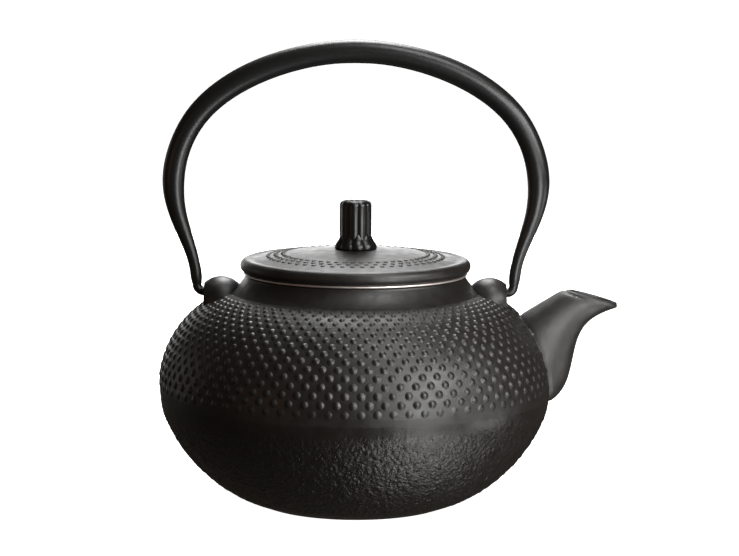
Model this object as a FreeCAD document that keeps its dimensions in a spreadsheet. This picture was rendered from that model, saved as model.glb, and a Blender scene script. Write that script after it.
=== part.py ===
"""Cast-iron teapot with a swinging bail, a knobbed lid and a lift-out strainer.

Millimetres, Z up. The origin is the centre of the flat base on the pot's axis, the spout
points along +X and the bail stands upright in the XZ plane.
"""
import FreeCAD
import Part
import Sketcher
import math
import os

Vector = FreeCAD.Vector

# Driving sizes. Lengths are in millimetres and angles in degrees.
SIZES = {
    # Pot casting, as the section of a turned shape
    "belly_radius": 83.5,
    "belly_height": 50.0,
    "base_radius": 41.0,
    "flank_radius": 33.5,
    "flank_angle": 23.3,
    "shoulder_radius": 42.0,
    "neck_base_radius": 53.0,
    "neck_rise": 7.7,
    "neck_radius": 47.2,
    "neck_curve": 20.0,
    "lip_round": 1.2,
    "mouth_radius": 43.4,
    "wall": 3.5,
    "floor_thickness": 4.0,
    # Spout: how far each station's back and front stand out from the belly, and their heights
    "spout_wall": 2.8,
    "root_back_reach": -31.0,
    "root_back_height": 58.0,
    "root_front_reach": -1.2,
    "root_front_height": 42.6,
    "root_width": 28.0,
    "heel_back_reach": -23.0,
    "heel_back_height": 70.0,
    "heel_front_reach": 6.7,
    "heel_front_height": 50.8,
    "heel_width": 29.0,
    "waist_back_reach": -14.5,
    "waist_back_height": 79.4,
    "waist_front_reach": 9.6,
    "waist_front_height": 60.8,
    "waist_width": 26.0,
    "knee_back_reach": -6.2,
    "knee_back_height": 85.0,
    "knee_front_reach": 11.7,
    "knee_front_height": 70.2,
    "knee_width": 21.0,
    "throat_back_reach": 0.6,
    "throat_back_height": 89.2,
    "throat_front_reach": 15.2,
    "throat_front_height": 76.9,
    "throat_width": 17.5,
    "tip_back_reach": 5.7,
    "tip_back_height": 90.4,
    "tip_front_reach": 28.7,
    "tip_front_height": 84.4,
    "tip_width": 15.5,
    "mouth_lip_height": 2.0,
    "mouth_lip_inset": 0.8,
    "channel_run_out": 3.0,
    # Lugs that carry the bail
    "lug_radius": 10.5,
    "lug_offset": 4.3,
    "lug_sink": 2.6,
    "lug_face_reach": 7.2,
    "lug_root_reach": 8.6,
    "hinge_rise": 4.0,
    "pin_radius": 1.95,
    "pin_clearance": 0.05,
    "pin_length": 7.0,
    "pin_end_gap": 0.6,
    # Bail handle: sizes of its centre line, and its thickness along the way
    "bail_half_width": 77.6,
    "bail_widest_rise": 45.2,
    "bail_crown_rise": 57.3,
    "bail_crown_radius": 102.0,
    "bail_flank_radius": 40.0,
    "bail_ankle_radius": 20.0,
    "bail_ankle_rise": 4.7,
    "bail_elbow_radius": 2.9,
    "leg_gap": 1.2,
    "bail_crown_thickness": 10.0,
    "bail_shoulder_thickness": 10.0,
    "bail_side_thickness": 9.3,
    "bail_flank_thickness": 7.5,
    "bail_ankle_thickness": 5.0,
    # Strainer basket
    "flange_overhang": 0.5,
    "flange_thickness": 0.9,
    "collar_clearance": 1.9,
    "collar_thickness": 0.7,
    "collar_depth": 9.0,
    "mesh_thickness": 0.6,
    "basket_depth": 50.0,
    "band_height": 4.0,
    "band_lip": 3.0,
    # Lid
    "lid_overhang": 2.0,
    "lid_edge_radius": 2.9,
    "lid_bead_turn": 18.0,
    "lid_dish_curve": 4.0,
    "lid_dome_slope": 11.8,
    "lid_thickness": 3.2,
    "lid_ring_clearance": 1.4,
    "lid_ring_thickness": 2.2,
    "lid_ring_depth": 7.0,
    "boss_margin": 0.6,
    # Knob and its fixing
    "knob_radius": 6.9,
    "knob_height": 21.2,
    "knob_core_radius": 5.4,
    "knob_foot_radius": 9.1,
    "knob_foot_base": 7.4,
    "knob_foot_edge": 2.2,
    "knob_foot_height": 6.2,
    "knob_foot_slope": 1.0,
    "knob_top_round": 1.0,
    "reed_radius": 2.2,
    "scallop_radius": 2.0,
    "scallop_depth": 1.2,
    "screw_radius": 2.0,
    "screw_clearance": 0.1,
    "screw_engagement": 9.0,
    "screw_end_gap": 1.0,
    "screw_head_radius": 4.0,
    "screw_head_height": 2.6,
    "washer_radius": 5.2,
    "washer_thickness": 1.0,
}
REEDS = 9
REED_TURN = 18.5
CROWN_SHARES = (0, 0.06, 0.5)
SIDE_STEPS = 3
ELBOW_TURN = 90
STATIONS = ("root", "heel", "waist", "knee", "throat", "tip")

# Sizes worked out from the driving ones, in the order in which they need each other.
WORKED_OUT = {
    "flank_x": "sizes.belly_radius - sizes.flank_radius",
    "joint_x": "flank_x + sizes.flank_radius * cos(sizes.flank_angle * 1deg)",
    "joint_z": "sizes.belly_height - sizes.flank_radius * sin(sizes.flank_angle * 1deg)",
    "bowl_radius": "((joint_x - sizes.base_radius)^2 + joint_z^2) / (2 * ((joint_x - sizes.base_radius)"
                   " * cos(sizes.flank_angle * 1deg) - joint_z * sin(sizes.flank_angle * 1deg)))",
    "bowl_x": "joint_x - bowl_radius * cos(sizes.flank_angle * 1deg)",
    "bowl_z": "joint_z + bowl_radius * sin(sizes.flank_angle * 1deg)",
    "shoulder_x": "sizes.belly_radius - sizes.shoulder_radius",
    "neck_base": "sizes.belly_height + sqrt(sizes.shoulder_radius^2"
                 " - (sizes.neck_base_radius - shoulder_x)^2)",
    "neck_top": "neck_base + sizes.neck_rise",
    "inner_joint_x": "flank_x + (sizes.flank_radius - sizes.wall) * cos(sizes.flank_angle * 1deg)",
    "inner_joint_z": "sizes.belly_height"
                     " - (sizes.flank_radius - sizes.wall) * sin(sizes.flank_angle * 1deg)",
    "inner_floor_x": "bowl_x + sqrt((bowl_radius - sizes.wall)^2 - (bowl_z - sizes.floor_thickness)^2)",
    "inner_neck_z": "sizes.belly_height + sqrt((sizes.shoulder_radius - sizes.wall)^2"
                    " - (sizes.mouth_radius - shoulder_x)^2)",
    "lug_x": "sizes.neck_base_radius + sizes.lug_offset",
    "lug_z": "sizes.belly_height - sizes.lug_sink"
             " + sqrt(sizes.shoulder_radius^2 - (lug_x - shoulder_x)^2)",
    "lug_face": "lug_x + sizes.lug_face_reach",
    "lug_face_radius": "sqrt(sizes.lug_radius^2 - sizes.lug_face_reach^2)",
    "lug_root": "lug_x - sizes.lug_root_reach",
    "lug_root_radius": "sqrt(sizes.lug_radius^2 - sizes.lug_root_reach^2)",
    "hinge_z": "lug_z + sizes.hinge_rise",
    "bail_widest_z": "hinge_z + sizes.bail_widest_rise",
    "bail_apex_z": "bail_widest_z + sizes.bail_crown_rise",
    "crown_z": "bail_apex_z - sizes.bail_crown_radius",
    "side_radius": "(sizes.bail_crown_radius^2 - sizes.bail_half_width^2"
                   " - (sizes.bail_crown_radius - sizes.bail_crown_rise)^2)"
                   " / (2 * (sizes.bail_crown_radius - sizes.bail_half_width))",
    "side_x": "sizes.bail_half_width - side_radius",
    "crown_angle": "atan2(bail_widest_z - crown_z; side_x)",
    "leg_x": "lug_face + sizes.leg_gap + sizes.pin_radius",
    "ankle_z": "hinge_z + sizes.bail_ankle_rise",
    "lean_run": "sizes.bail_half_width - leg_x - sizes.bail_flank_radius - sizes.bail_ankle_radius",
    "lean_drop": "bail_widest_z - ankle_z",
    "lean_angle": "asin((sizes.bail_flank_radius + sizes.bail_ankle_radius)"
                  " / sqrt(lean_drop^2 + lean_run^2)) + atan2(lean_run; lean_drop)",
    "flank_end_x": "sizes.bail_half_width - sizes.bail_flank_radius * (1 - cos(lean_angle))",
    "flank_end_z": "bail_widest_z - sizes.bail_flank_radius * sin(lean_angle)",
    "ankle_top_x": "leg_x + sizes.bail_ankle_radius * (1 - cos(lean_angle))",
    "ankle_top_z": "ankle_z + sizes.bail_ankle_radius * sin(lean_angle)",
    "elbow_top_z": "hinge_z + sizes.bail_elbow_radius",
    "elbow_end_x": "leg_x - sizes.bail_elbow_radius",
    "seat_z": "neck_top + sizes.flange_thickness",
    "flange_radius": "sizes.neck_radius + sizes.flange_overhang",
    "collar_outer": "sizes.mouth_radius - sizes.collar_clearance",
    "collar_inner": "collar_outer - sizes.collar_thickness",
    "collar_bottom": "seat_z - sizes.collar_depth",
    "basket_bottom": "seat_z - sizes.basket_depth",
    "mesh_inner": "collar_outer - sizes.mesh_thickness",
    "band_top": "basket_bottom + sizes.band_height",
    "lid_radius": "sizes.neck_radius + sizes.lid_overhang",
    "lid_edge_x": "lid_radius - sizes.lid_edge_radius",
    "lid_edge_z": "seat_z + sizes.lid_edge_radius",
    "bead_x": "lid_edge_x - sizes.lid_edge_radius * sin(sizes.lid_bead_turn * 1deg)",
    "bead_z": "lid_edge_z + sizes.lid_edge_radius * cos(sizes.lid_bead_turn * 1deg)",
    "dish_x": "bead_x - sizes.lid_dish_curve"
              " * (sin(sizes.lid_bead_turn * 1deg) + sin(sizes.lid_dome_slope * 1deg))",
    "dish_z": "bead_z + sizes.lid_dish_curve"
              " * (cos(sizes.lid_bead_turn * 1deg) - cos(sizes.lid_dome_slope * 1deg))",
    "dome_radius": "dish_x / sin(sizes.lid_dome_slope * 1deg)",
    "dome_z": "dish_z - dome_radius * cos(sizes.lid_dome_slope * 1deg)",
    "boss_radius": "sizes.knob_foot_radius + sizes.boss_margin",
    "boss_z": "dome_z + sqrt(dome_radius^2 - boss_radius^2)",
    "ring_outer": "collar_inner - sizes.lid_ring_clearance",
    "ring_inner": "ring_outer - sizes.lid_ring_thickness",
    "ring_bottom": "seat_z - sizes.lid_ring_depth",
    "under_radius": "dome_radius - sizes.lid_thickness",
    "under_edge_z": "dome_z + sqrt(under_radius^2 - ring_inner^2)",
    "under_boss_z": "dome_z + sqrt(under_radius^2 - boss_radius^2)",
    "knob_top": "boss_z + sizes.knob_height",
    "foot_edge_z": "boss_z + sizes.knob_foot_edge",
    "foot_top_z": "boss_z + sizes.knob_foot_height",
    "foot_round": "((sizes.knob_foot_radius - sizes.knob_foot_base)^2 + sizes.knob_foot_edge^2)"
                  " / (2 * (sizes.knob_foot_radius - sizes.knob_foot_base))",
    "foot_curve": "((sizes.knob_foot_radius - sizes.knob_radius)^2 + (foot_top_z - foot_edge_z)^2)"
                  " / (2 * (sizes.knob_foot_radius - sizes.knob_radius))",
    "reed_x": "sizes.knob_radius - sizes.reed_radius",
    "scallop_x": "sizes.knob_foot_radius + sizes.scallop_radius - sizes.scallop_depth",
    "screw_hole": "sizes.screw_radius + sizes.screw_clearance",
    "washer_bottom": "under_boss_z - sizes.washer_thickness",
    "head_bottom": "washer_bottom - sizes.screw_head_height",
    "screw_top": "boss_z + sizes.screw_engagement",
}

doc = FreeCAD.newDocument("teapot")


def fill_sheet(name, cells, prefix):
    """Make a sheet with one labelled and aliased cell for each size."""
    sheet = doc.addObject("Spreadsheet::Sheet", name)
    for row, (alias, content) in enumerate(cells.items(), start=1):
        sheet.set(f"A{row}", alias)
        sheet.set(f"B{row}", f"{prefix}{content}")
        sheet.setAlias(f"B{row}", alias)
        if prefix:
            doc.recompute()
    doc.recompute()
    return sheet


sizes = fill_sheet("sizes", SIZES, "")
worked = fill_sheet("worked", WORKED_OUT, "=")


def value(expression):
    """Return the number that an expression gives now."""
    return float(sizes.evalExpression(expression))


def origin_plane(body, role):
    """Find one of a body's own origin planes."""
    return next(feature for feature in body.Origin.OriginFeatures if feature.Role == role)


def new_sketch(body, name, role):
    """Add a sketch on one of the body's origin planes."""
    sketch = body.newObject("Sketcher::SketchObject", name)
    sketch.AttachmentSupport = [(origin_plane(body, role), "")]
    sketch.MapMode = "FlatFace"
    return sketch


def place(sketch, x="0", y="0", z="0", lean="0deg"):
    """Shift a sketch from its plane, and lean it about the Y axis, as expressions say."""
    turn = FreeCAD.Rotation(Vector(0, 1, 0), value(lean))
    sketch.AttachmentOffset = FreeCAD.Placement(Vector(value(x), value(y), value(z)), turn)
    for axis, expression in zip("xyz", (x, y, z)):
        sketch.setExpression(f"AttachmentOffset.Base.{axis}", expression)
    if lean != "0deg":
        sketch.setExpression("AttachmentOffset.Rotation.Angle", lean)
    return sketch


def bind(sketch, constraint, expression):
    """Add a dimension to a sketch and let an expression drive it."""
    index = sketch.addConstraint(constraint)
    sketch.setExpression(f"Constraints[{index}]", expression)


class Outline:
    """A chain of lines and arcs whose corners and radii follow the sheets."""

    def __init__(self, sketch, start):
        self.sketch = sketch
        self.start = start
        self.here = start
        self.first = None
        self.last = None

    def _point(self, corner):
        return Vector(value(corner[0]), value(corner[1]), 0)

    def pin(self, end, corner):
        """Hold one end of a stretch at a corner."""
        for axis, line, expression in (("DistanceX", -2, corner[0]), ("DistanceY", -1, corner[1])):
            if expression == "0":
                self.sketch.addConstraint(Sketcher.Constraint("PointOnObject", *end, line))
            else:
                bind(self.sketch, Sketcher.Constraint(axis, -1, 1, *end, value(expression)), expression)

    def _chain(self, begin, end, corner):
        if self.last is None:
            self.first = begin
            self.pin(begin, self.start)
        else:
            self.sketch.addConstraint(Sketcher.Constraint("Coincident", *self.last, *begin))
        if corner == self.start:
            self.sketch.addConstraint(Sketcher.Constraint("Coincident", *end, *self.first))
        else:
            self.pin(end, corner)
        self.last = end
        self.here = corner
        return self

    def line(self, *corner):
        """Draw a straight stretch to a corner."""
        edge = Part.LineSegment(self._point(self.here), self._point(corner))
        index = self.sketch.addGeometry(edge, False)
        return self._chain((index, 1), (index, 2), corner)

    def arc(self, radius, turn, *corner):
        """Draw an arc of under half a circle, turning left (+1) or right (-1)."""
        begin = self._point(self.here)
        end = self._point(corner)
        size = value(radius)
        chord = end - begin
        rise = math.sqrt(max(size ** 2 - chord.Length ** 2 / 4, 0.0))
        across = Vector(-chord.y, chord.x, 0).normalize()
        centre = (begin + end) / 2 + across * rise * turn
        ends = [math.atan2(p.y - centre.y, p.x - centre.x) for p in (begin, end)]
        circle = Part.Circle(centre, Vector(0, 0, 1), size)
        index = self.sketch.addGeometry(Part.ArcOfCircle(circle, *ends[::turn]), False)
        sides = ((index, 1), (index, 2))[::turn]
        self._chain(*sides, corner)
        bind(self.sketch, Sketcher.Constraint("Radius", index, size), radius)
        return self

    def close(self):
        """Draw the straight stretch back to the start."""
        return self.line(*self.start)


def circle(sketch, radius, x="0", y="0"):
    """Draw a circle whose place and radius follow the sheets."""
    centre = Vector(value(x), value(y), 0)
    index = sketch.addGeometry(Part.Circle(centre, Vector(0, 0, 1), value(radius)), False)
    Outline(sketch, (x, y)).pin((index, 3), (x, y))
    bind(sketch, Sketcher.Constraint("Radius", index, value(radius)), radius)
    return sketch


def turned(body, kind, name, sketch, axis="V_Axis", angle=360):
    """Turn a sketch about one of its own axes, to add or to cut."""
    feature = body.newObject(f"PartDesign::{kind}", name)
    feature.Profile = sketch
    feature.ReferenceAxis = (sketch, [axis])
    feature.Angle = angle
    doc.recompute()
    return feature


def mirrored(body, name, *features):
    """Repeat features on the other side of the YZ plane."""
    mirror = body.newObject("PartDesign::Mirrored", name)
    mirror.Originals = list(features)
    mirror.MirrorPlane = (origin_plane(body, "YZ_Plane"), [""])
    body.Tip = mirror
    doc.recompute()


def new_body(label):
    """Start a sub-part."""
    body = doc.addObject("PartDesign::Body", label)
    body.Label = label
    body.Placement = FreeCAD.Placement()
    return body


def turned_part(label, start):
    """Start a sub-part that is turned about the pot's axis, and its outline."""
    body = new_body(label)
    sketch = new_sketch(body, f"{label}_section", "XZ_Plane")
    return body, sketch, Outline(sketch, start)


def spout_station(body, name, station, inset, run_out="0"):
    """Draw one oval of the spout, across from its back to its front."""
    back_x = f"(sizes.belly_radius + sizes.{station}_back_reach)"
    front_x = f"(sizes.belly_radius + sizes.{station}_front_reach)"
    across = f"({front_x} - {back_x})"
    down = f"(sizes.{station}_back_height - sizes.{station}_front_height)"
    length = f"(sqrt({across}^2 + {down}^2) - 2 * {inset})"
    width = f"(sizes.{station}_width - 2 * {inset})"
    tilt = f"atan2({down}; {across})"
    centre_x = f"({front_x} + {back_x}) / 2 + {run_out} * sin({tilt})"
    centre_z = f"(sizes.{station}_back_height + sizes.{station}_front_height) / 2 + {run_out} * cos({tilt})"
    sketch = new_sketch(body, name, "XY_Plane")
    place(sketch, x=centre_x, z=centre_z, lean=tilt)
    half_length = Vector(value(length) / 2, 0, 0)
    half_width = Vector(0, value(width) / 2, 0)
    oval = sketch.addGeometry(Part.Ellipse(half_length, half_width, Vector(0, 0, 0)), False)
    sketch.exposeInternalGeometry(oval)
    sketch.addConstraint(Sketcher.Constraint("Coincident", oval, 3, -1, 1))
    sketch.addConstraint(Sketcher.Constraint("Horizontal", oval + 1))
    bind(sketch, Sketcher.Constraint("Distance", oval + 1, value(length)), length)
    bind(sketch, Sketcher.Constraint("Distance", oval + 2, value(width)), width)
    return sketch


def lofted(body, kind, name, sketches):
    """Loft smoothly through sketches, to add or to cut."""
    loft = body.newObject(f"PartDesign::{kind}", name)
    loft.Profile = sketches[0]
    loft.Sections = sketches[1:]
    doc.recompute()
    return loft


def draw_casting(outline):
    """Draw the outside of the bowl and shoulder, from the base up to the neck's foot."""
    outline.line("sizes.base_radius", "0")
    outline.arc("worked.bowl_radius", 1, "worked.joint_x", "worked.joint_z")
    outline.arc("sizes.flank_radius", 1, "sizes.belly_radius", "sizes.belly_height")
    outline.arc("sizes.shoulder_radius", 1, "sizes.neck_base_radius", "worked.neck_base")
    outline.line("0", "worked.neck_base")
    outline.close()


def draw_neck(outline):
    """Draw the hollow-curved outside of the neck, from its foot up to its lip."""
    outline.line("sizes.neck_base_radius", "worked.neck_base")
    outline.arc("sizes.neck_curve", -1, "sizes.neck_radius", "worked.neck_top - sizes.lip_round")
    return outline


def cut_channel(body):
    """Cut the spout's channel, from inside the bowl out through the mouth."""
    bores = [spout_station(body, f"channel_{name}", name, "sizes.spout_wall") for name in STATIONS]
    bores.append(spout_station(body, "channel_end", "tip", "sizes.spout_wall", "sizes.channel_run_out"))
    lofted(body, "SubtractiveLoft", "spout_channel", bores)


def make_pot_body():
    """Bowl and shoulder of the hollow casting, with the two lugs that carry the bail."""
    body, sketch, outline = turned_part("pot_body", ("0", "0"))
    draw_casting(outline)
    turned(body, "Revolution", "pot_casting", sketch)

    lug = place(new_sketch(body, "lug_section", "XZ_Plane"), y="worked.lug_z")
    dome = Outline(lug, ("worked.lug_root", "0"))
    dome.line("worked.lug_face", "0")
    dome.line("worked.lug_face", "worked.lug_face_radius")
    dome.arc("sizes.lug_radius", 1, "worked.lug_root", "worked.lug_root_radius")
    dome.close()
    mirrored(body, "lug_pair", turned(body, "Revolution", "lug", lug, "H_Axis"))

    neck_seat = new_sketch(body, "neck_seat_section", "XZ_Plane")
    room = draw_neck(Outline(neck_seat, ("0", "worked.neck_base")))
    room.line("0", "worked.neck_top - sizes.lip_round")
    room.close()
    turned(body, "Groove", "neck_seat", neck_seat)

    cavity = new_sketch(body, "cavity_section", "XZ_Plane")
    hollow = Outline(cavity, ("0", "sizes.floor_thickness"))
    hollow.line("worked.inner_floor_x", "sizes.floor_thickness")
    hollow.arc("worked.bowl_radius - sizes.wall", 1, "worked.inner_joint_x", "worked.inner_joint_z")
    hollow.arc("sizes.flank_radius - sizes.wall", 1, "sizes.belly_radius - sizes.wall", "sizes.belly_height")
    hollow.arc("sizes.shoulder_radius - sizes.wall", 1, "sizes.mouth_radius", "worked.inner_neck_z")
    hollow.line("sizes.mouth_radius", "worked.neck_base")
    hollow.line("0", "worked.neck_base")
    hollow.close()
    turned(body, "Groove", "pot_cavity", cavity)
    cut_channel(body)

    seat = place(new_sketch(body, "bore_circle", "YZ_Plane"), z="worked.lug_face")
    circle(seat, "sizes.pin_radius + sizes.pin_clearance", y="worked.hinge_z")
    bore = body.newObject("PartDesign::Pocket", "pin_bore")
    bore.Profile = seat
    bore.setExpression("Length", "sizes.pin_length + sizes.pin_end_gap")
    doc.recompute()
    mirrored(body, "pin_bores", bore)
    return body


def make_pot_neck():
    """Neck of the casting, a ring that rises from the shoulder and carries the strainer."""
    body, sketch, outline = turned_part("pot_neck", ("sizes.mouth_radius", "worked.neck_base"))
    draw_neck(outline)
    outline.arc("sizes.lip_round", 1, "sizes.neck_radius - sizes.lip_round", "worked.neck_top")
    outline.line("sizes.mouth_radius", "worked.neck_top")
    outline.close()
    turned(body, "Revolution", "neck_turning", sketch)
    return body


def make_pot_spout():
    """Hollow beak of the casting, ending on the bowl's outside, with a mouth cut aslant."""
    body = new_body("pot_spout")
    ovals = [spout_station(body, f"spout_{name}", name, "0") for name in STATIONS]
    lofted(body, "AdditiveLoft", "spout", ovals)
    lip = spout_station(body, "mouth_lip_oval", "tip", "sizes.mouth_lip_inset", "sizes.mouth_lip_height")
    lofted(body, "AdditiveLoft", "mouth_lip", [ovals[-1], lip])
    bowl = new_sketch(body, "bowl_section", "XZ_Plane")
    draw_casting(Outline(bowl, ("0", "0")))
    turned(body, "Groove", "bowl_seat", bowl)
    cut_channel(body)
    return body


def bail_ring(body, name, thickness, x, z, lean):
    """Draw the round section of the bail at one place on its centre line."""
    sketch = place(new_sketch(body, name, "XY_Plane"), x=x, z=z, lean=lean)
    return circle(sketch, f"({thickness}) / 2")


def bail_arc_ring(body, name, share, centre, radius, angles, thicknesses):
    """Draw a section of the bail part of the way along one of its arcs."""
    turn = f"({angles[0]} + ({angles[1]} - {angles[0]}) * {share})"
    thickness = f"{thicknesses[0]} + ({thicknesses[1]} - {thicknesses[0]}) * {share}"
    x = f"{centre[0]} + {radius} * cos({turn})"
    z = f"{centre[1]} + {radius} * sin({turn})"
    return bail_ring(body, name, thickness, x, z, f"-{turn}")


def bail_rings(body):
    """Draw the bail's sections in order, from its apex down to its elbow."""
    rings = []
    for step, share in enumerate(CROWN_SHARES):
        rings.append(bail_arc_ring(
            body, f"crown_ring_{step}", share, ("0", "worked.crown_z"),
            "sizes.bail_crown_radius", ("90deg", "worked.crown_angle"),
            ("sizes.bail_crown_thickness", "sizes.bail_shoulder_thickness")))
    for step in range(SIDE_STEPS + 1):
        rings.append(bail_arc_ring(
            body, f"side_ring_{step}", step / SIDE_STEPS, ("worked.side_x", "worked.bail_widest_z"),
            "worked.side_radius", ("worked.crown_angle", "0deg"),
            ("sizes.bail_shoulder_thickness", "sizes.bail_side_thickness")))
    rings.append(bail_ring(body, "flank_ring", "sizes.bail_flank_thickness",
                           "worked.flank_end_x", "worked.flank_end_z", "worked.lean_angle"))
    rings.append(bail_ring(body, "ankle_ring", "sizes.bail_ankle_thickness",
                           "worked.ankle_top_x", "worked.ankle_top_z", "worked.lean_angle"))
    rings.append(bail_ring(body, "leg_ring", "2 * sizes.pin_radius",
                           "worked.leg_x", "worked.elbow_top_z", "0deg"))
    return rings


def make_bail_handle():
    """One bent rod, thickest over the shoulders, thinning to the pins that turn in the lugs."""
    body = new_body("bail_handle")
    rod = lofted(body, "AdditiveLoft", "bail_rod", bail_rings(body))

    bend = place(new_sketch(body, "elbow_circle", "XY_Plane"), x="worked.elbow_end_x",
                 z="worked.elbow_top_z")
    circle(bend, "sizes.pin_radius", x="sizes.bail_elbow_radius")
    elbow = turned(body, "Revolution", "elbow", bend, angle=ELBOW_TURN)

    start = place(new_sketch(body, "pin_circle", "YZ_Plane"), z="worked.elbow_end_x")
    circle(start, "sizes.pin_radius", y="worked.hinge_z")
    pin = body.newObject("PartDesign::Pad", "hinge_pin")
    pin.Profile = start
    pin.Reversed = True
    pin.setExpression("Length", "worked.elbow_end_x - worked.lug_face + sizes.pin_length")
    doc.recompute()

    mirrored(body, "bail_halves", rod, elbow, pin)
    return body


def make_strainer_rim():
    """Flat flange that lies on the neck, with a collar that hangs in the mouth."""
    body, sketch, outline = turned_part("strainer_rim", ("worked.collar_inner", "worked.collar_bottom"))
    outline.line("worked.collar_outer", "worked.collar_bottom")
    outline.line("worked.collar_outer", "worked.neck_top")
    outline.line("worked.flange_radius - sizes.flange_thickness / 2", "worked.neck_top")
    outline.arc("sizes.flange_thickness / 2", 1, "worked.flange_radius",
                "worked.neck_top + sizes.flange_thickness / 2")
    outline.arc("sizes.flange_thickness / 2", 1,
                "worked.flange_radius - sizes.flange_thickness / 2", "worked.seat_z")
    outline.line("worked.collar_inner", "worked.seat_z")
    outline.close()
    turned(body, "Revolution", "rim_turning", sketch)
    return body


def make_strainer_wall():
    """Mesh side of the basket, between the collar and the bottom band."""
    body, sketch, outline = turned_part("strainer_wall", ("worked.mesh_inner", "worked.band_top"))
    outline.line("worked.collar_outer", "worked.band_top")
    outline.line("worked.collar_outer", "worked.collar_bottom")
    outline.line("worked.mesh_inner", "worked.collar_bottom")
    outline.close()
    turned(body, "Revolution", "wall_turning", sketch)
    return body


def make_strainer_band():
    """Angle-section band that carries the mesh wall and the mesh floor."""
    body, sketch, outline = turned_part(
        "strainer_band", ("worked.collar_outer - sizes.band_lip", "worked.basket_bottom"))
    outline.line("worked.collar_outer", "worked.basket_bottom")
    outline.line("worked.collar_outer", "worked.band_top")
    outline.line("worked.collar_inner", "worked.band_top")
    outline.line("worked.collar_inner", "worked.basket_bottom + sizes.collar_thickness")
    outline.line("worked.collar_outer - sizes.band_lip", "worked.basket_bottom + sizes.collar_thickness")
    outline.close()
    turned(body, "Revolution", "band_turning", sketch)
    return body


def make_strainer_floor():
    """Mesh disc that lies on the band's lip."""
    body, sketch, outline = turned_part(
        "strainer_floor", ("0", "worked.basket_bottom + sizes.collar_thickness"))
    top = "worked.basket_bottom + sizes.collar_thickness + sizes.mesh_thickness"
    outline.line("worked.collar_inner", "worked.basket_bottom + sizes.collar_thickness")
    outline.line("worked.collar_inner", top)
    outline.line("0", top)
    outline.close()
    turned(body, "Revolution", "floor_turning", sketch)
    return body


def make_lid():
    """Shallow dome inside a round bead, with a locating ring and a flat boss for the knob."""
    body, sketch, outline = turned_part("lid", ("worked.screw_hole", "worked.under_boss_z"))
    outline.line("worked.boss_radius", "worked.under_boss_z")
    outline.arc("worked.under_radius", -1, "worked.ring_inner", "worked.under_edge_z")
    outline.line("worked.ring_inner", "worked.ring_bottom")
    outline.line("worked.ring_outer", "worked.ring_bottom")
    outline.line("worked.ring_outer", "worked.seat_z")
    outline.line("worked.lid_edge_x", "worked.seat_z")
    outline.arc("sizes.lid_edge_radius", 1, "worked.lid_radius", "worked.lid_edge_z")
    outline.arc("sizes.lid_edge_radius", 1, "worked.bead_x", "worked.bead_z")
    outline.arc("sizes.lid_dish_curve", -1, "worked.dish_x", "worked.dish_z")
    outline.arc("worked.dome_radius", 1, "worked.boss_radius", "worked.boss_z")
    outline.line("worked.screw_hole", "worked.boss_z")
    outline.close()
    turned(body, "Revolution", "lid_turning", sketch)
    return body


def ring_of_rounds(body, kind, name, radius, x, start, length):
    """Repeat one upright round about the axis, to add or to cut, from a start along a length."""
    sketch = new_sketch(body, f"{name}_circle", "XY_Plane")
    turn = FreeCAD.Rotation(Vector(0, 0, 1), REED_TURN)
    sketch.AttachmentOffset = FreeCAD.Placement(Vector(0, 0, value(start)), turn)
    sketch.setExpression("AttachmentOffset.Base.z", start)
    circle(sketch, radius, x=x)
    round_one = body.newObject(f"PartDesign::{kind}", name)
    round_one.Profile = sketch
    round_one.setExpression("Length", length)
    doc.recompute()
    pattern = body.newObject("PartDesign::PolarPattern", f"{name}_ring")
    pattern.Originals = [round_one]
    pattern.Axis = (sketch, ["N_Axis"])
    pattern.Angle = 360
    pattern.Occurrences = REEDS
    body.Tip = pattern
    doc.recompute()


def make_lid_knob():
    """Reeded stem on a flared foot with petals, bored from below for its screw."""
    body, sketch, outline = turned_part("lid_knob", ("0", "worked.boss_z"))
    outline.line("sizes.knob_foot_base", "worked.boss_z")
    outline.arc("worked.foot_round", 1, "sizes.knob_foot_radius", "worked.foot_edge_z")
    outline.arc("worked.foot_curve", -1, "sizes.knob_radius", "worked.foot_top_z")
    outline.line("sizes.knob_core_radius", "worked.foot_top_z + sizes.knob_foot_slope")
    outline.line("sizes.knob_core_radius", "worked.knob_top")
    outline.line("0", "worked.knob_top")
    outline.close()
    turned(body, "Revolution", "knob_turning", sketch)
    ring_of_rounds(body, "Pad", "reed", "sizes.reed_radius", "worked.reed_x", "worked.foot_edge_z",
                   "worked.knob_top - worked.foot_edge_z")
    ring_of_rounds(body, "Pocket", "scallop", "sizes.scallop_radius", "worked.scallop_x",
                   "worked.foot_top_z", "sizes.knob_foot_height")

    crown = new_sketch(body, "crown_section", "XZ_Plane")
    waste = Outline(crown, ("sizes.knob_radius - sizes.knob_top_round", "worked.knob_top"))
    waste.arc("sizes.knob_top_round", -1, "sizes.knob_radius", "worked.knob_top - sizes.knob_top_round")
    waste.line("sizes.knob_radius + sizes.knob_top_round", "worked.knob_top - sizes.knob_top_round")
    waste.line("sizes.knob_radius + sizes.knob_top_round", "worked.knob_top")
    waste.close()
    turned(body, "Groove", "crown_round", crown)

    bore = new_sketch(body, "bore_section", "XZ_Plane")
    hole = Outline(bore, ("0", "worked.boss_z"))
    hole.line("sizes.screw_radius", "worked.boss_z")
    hole.line("sizes.screw_radius", "worked.screw_top + sizes.screw_end_gap")
    hole.line("0", "worked.screw_top + sizes.screw_end_gap")
    hole.close()
    turned(body, "Groove", "screw_bore", bore)
    return body


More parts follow.
